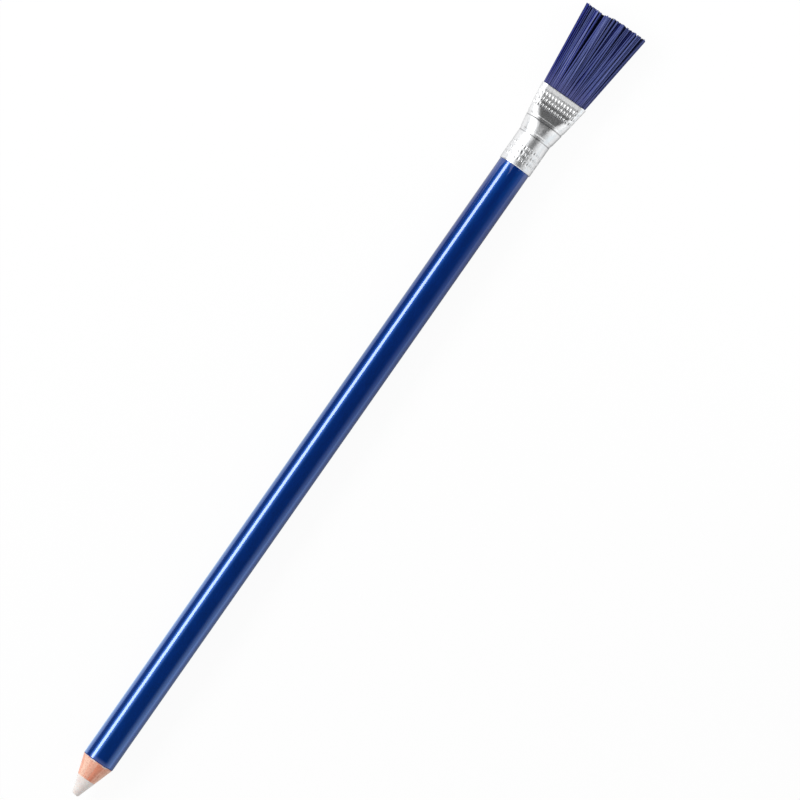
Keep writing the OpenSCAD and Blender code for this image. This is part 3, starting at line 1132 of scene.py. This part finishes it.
g, given = new_tree("bristles", STRAND_INPUTS, nylon)
root_w, root_t = given("Root width"), given("Root thickness")
grid = g.add("GeometryNodeMeshGrid", {}, root_w, root_t, given("Strands across"), given("Rows"))
spot = g.split(g.add("GeometryNodeInputPosition"))
across, through = spot.output("X"), spot.output("Y")
row_step = root_t / (given("Rows") - 1)
column_step = root_w / (given("Strands across") - 1)
odd_row = (((through + root_t * 0.5) / row_step).math("ROUND") * 0.5).math("FRACT") * 2
shift = g.add("ShaderNodeCombineXYZ", {}, (odd_row - 0.5) * column_step * 0.5)
grid = g.add("GeometryNodeSetPosition", {}, Geometry=grid, Offset=shift)
past_flat = (across.math("ABSOLUTE") - (root_w - root_t) * 0.5).math("MAXIMUM", 0.0)
out = past_flat * past_flat + through * through
outside = out.math("GREATER_THAN", root_t * root_t * OVAL_REACH)
kept = g.add("GeometryNodeDeleteGeometry", {"domain": "POINT"}, grid, outside)


def draw(graph, seed, number, low=-1.0):
    """A random number between low and 1 for each strand."""
    limits = {"Min": low, "Max": 1.0, "Seed": seed * 10 + number}
    return graph.add("FunctionNodeRandomValue", {"data_type": "FLOAT"}, **limits)


seed = given("Seed")
root_y = across + draw(g, seed, 1) * column_step * JITTER
kept = store(g, kept, "share_y", root_y / (root_w * 0.5))
root_z = through + draw(g, seed, 2) * row_step * JITTER
kept = store(g, kept, "share_z", root_z / (root_t * 0.5))
for number, name in ((3, "draw_y"), (4, "draw_z"), (5, "draw_bow")):
    kept = store(g, kept, name, draw(g, seed, number))
for number, name in ((6, "draw_trim"), (7, "draw_shade"), (8, "blue")):
    kept = store(g, kept, name, draw(g, seed, number, low=0.0))
print("roots placed, with", len(g.tree.nodes), "nodes")

# %% Stand a line on each root and lean its tip
SMALL_CLUMP = 0.4
CLUMP_FLATNESS = 0.7
LEAST_LEAN = 0.2
WIDE_SHARE, SMALL_SHARE, OWN_SHARE = 0.25, 0.4, 0.35
EDGE_FROM = (0.8, 1.0)
EDGE_BLUE = 0.6

line = g.add("GeometryNodeCurvePrimitiveLine", {}, (0.0, 0.0, 0.0), (1.0, 0.0, 0.0))
line = g.add("GeometryNodeResampleCurve", {"mode": "COUNT"}, Curve=line, Count=given("Steps"))
strands = g.add("GeometryNodeInstanceOnPoints", {}, Points=kept, Instance=line)
strands = g.add("GeometryNodeRealizeInstances", {}, strands)

share_y, share_z = read(g, "share_y"), read(g, "share_z")
inner_y = 1 - share_y**4.0
inner_z = 1 - share_z * share_z
outer_z = share_z * share_z * (1 - LEAST_LEAN) + LEAST_LEAN
tip_y = share_y * (given("Tip width") * 0.5 - given("Radius"))
tip_z = share_z * (given("Tip thickness") * 0.5 - given("Radius"))


def leaned(graph, y, z, width, share):
    """A tip's y and z after it leans towards the middle of its clump, and the clump's shade."""
    cell = graph.add("ShaderNodeCombineXYZ", {}, y / width, z / width * CLUMP_FLATNESS)
    clump = graph.add("ShaderNodeTexVoronoi", {"voronoi_dimensions": "2D"}, Vector=cell, Scale=1.0)
    middle = graph.split(clump.output("Position"))
    to_y = middle.output("X") * width - y
    to_z = middle.output("Y") * width / CLUMP_FLATNESS - z
    shade = graph.split(clump.output("Color")).output("X")
    return y + to_y * share * inner_y * outer_z, z + to_z * share * inner_y * inner_z, shade


big, lean = given("Clump size"), given("Clump")
tip_y, tip_z, wide_shade = leaned(g, tip_y, tip_z, big, lean)
tip_y, tip_z, small_shade = leaned(g, tip_y, tip_z, big * SMALL_CLUMP, lean)
shade = wide_shade * WIDE_SHARE + small_shade * SMALL_SHARE + read(g, "draw_shade") * OWN_SHARE
strands = store(g, strands, "shade", shade)
strands = store(g, strands, "blue", read(g, "blue") + share_y.rise(*EDGE_FROM) * EDGE_BLUE)
# How near each strand lies to the outside of the tuft; the nylon finish paints shade on the ones
# further in.
strands = store(g, strands, "surface", (share_z * share_z).math("MAXIMUM", share_y**8.0))
tip_y = tip_y + read(g, "draw_y") ** 3.0 * given("Wander") * inner_y
tip_z = tip_z + read(g, "draw_z") ** 3.0 * given("Wander") * inner_z
print("tips leaned, with", len(g.tree.nodes), "nodes")

# %% Follow the ferrule inside and the fan outside
PACKING = 0.4
CUT_RISES = (0.0, 0.3)
CUT_FALLS = (0.86, 1.0)
CUT_DROP = 0.6

up = g.add("GeometryNodeSplineParameter").output("Factor")
cut = share_y.rise(*CUT_RISES) * (1 - share_y.rise(*CUT_FALLS) * CUT_DROP)
trimmed = read(g, "draw_trim") ** 2.0 * given("Trim") + cut * given("Slant")
x = given("From") + (given("To") - trimmed - given("From")) * up
mouth, end = given("Mouth"), given("End")
held = x.math("MINIMUM", mouth)
flare = ((held - RING_1_X) / (MOUTH_X - RING_1_X)).math("MAXIMUM", 0.0) ** FLARE_CURVE
pressed = held.rise(PRESS_X, FLAT_X)
narrowing = COLLAR_R + (MOUTH_HALF_W - COLLAR_R) * flare
closing = COLLAR_R + (MOUTH_HALF_T - COLLAR_R) * pressed
held_y = share_y * root_w * 0.5 * (narrowing - SHEET) / (MOUTH_HALF_W - SHEET)
opened = (closing - MOUTH_HALF_T) / (MOUTH_HALF_T - SHEET) * PACKING + 1
held_z = share_z * root_t * 0.5 * opened
fan = ((x - mouth) / (end - mouth)).math("MAXIMUM", 0.0)
bow = fan * (1 - fan) * read(g, "draw_bow") * given("Wander") * inner_y
y = held_y + (tip_y - held_y) * fan + bow
z = held_z + (tip_z - held_z) * fan + bow * inner_z * 0.5
metres = g.add("ShaderNodeCombineXYZ", {}, x - OVERALL / 2, y, z + AXIS_Z)
metres = g.vector("MULTIPLY", metres, (MM, MM, MM))
strands = g.add("GeometryNodeSetPosition", {}, Geometry=strands, Position=metres)
strands = store(g, strands, "up", fan)
print("lines bent, with", len(g.tree.nodes), "nodes")

# %% Give the lines their thickness
STRAND_SIDES = 8
CAP_NORMAL = 0.8

thick = {"Resolution": STRAND_SIDES, "Radius": given("Radius") * MM}
section = g.add("GeometryNodeCurvePrimitiveCircle", {"mode": "RADIUS"}, **thick)
tubes = g.add("GeometryNodeCurveToMesh", {}, Curve=strands, Profile_Curve=section, Fill_Caps=True)
normal = g.split(g.add("GeometryNodeInputNormal"))
on_side = normal.output("X").math("ABSOLUTE").math("LESS_THAN", CAP_NORMAL)
tubes = g.add("GeometryNodeSetShadeSmooth", {}, Geometry=tubes, Selection=on_side)
bristle_tree = end_tree(g, tubes)
print("bristle tree:", len(bristle_tree.nodes), "nodes")

# %% Grow the roots and the tuft
ROOT_X = 180.5
JOIN_X = MOUTH_X - 0.4
STRANDS = {
    "Mouth": MOUTH_X, "End": OVERALL, "Strands across": 42, "Rows": 10, "Radius": 0.13,
    "Root width": 10.95, "Root thickness": 2.34, "Tip width": 15.8, "Tip thickness": 4.4,
    "Clump size": 2.6, "Clump": 0.46, "Wander": 0.8, "Slant": 0.6, "Seed": 5,
}


def grow(name, start, end, steps, trim):
    piece = bpy.data.objects.new(name, bpy.data.meshes.new(name))
    scene.collection.objects.link(piece)
    sizes = {**STRANDS, "From": start, "To": end, "Steps": steps, "Trim": trim}
    apply_tree(piece, bristle_tree, sizes)
    return piece


roots = grow("bristle_roots_set", start=ROOT_X, end=JOIN_X, steps=4, trim=0.0)
tuft = grow("bristle_fan", start=JOIN_X, end=OVERALL, steps=12, trim=0.4)
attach(roots, "pencil")
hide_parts("bristle_roots")
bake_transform(tuft)
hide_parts("bristle_tuft")
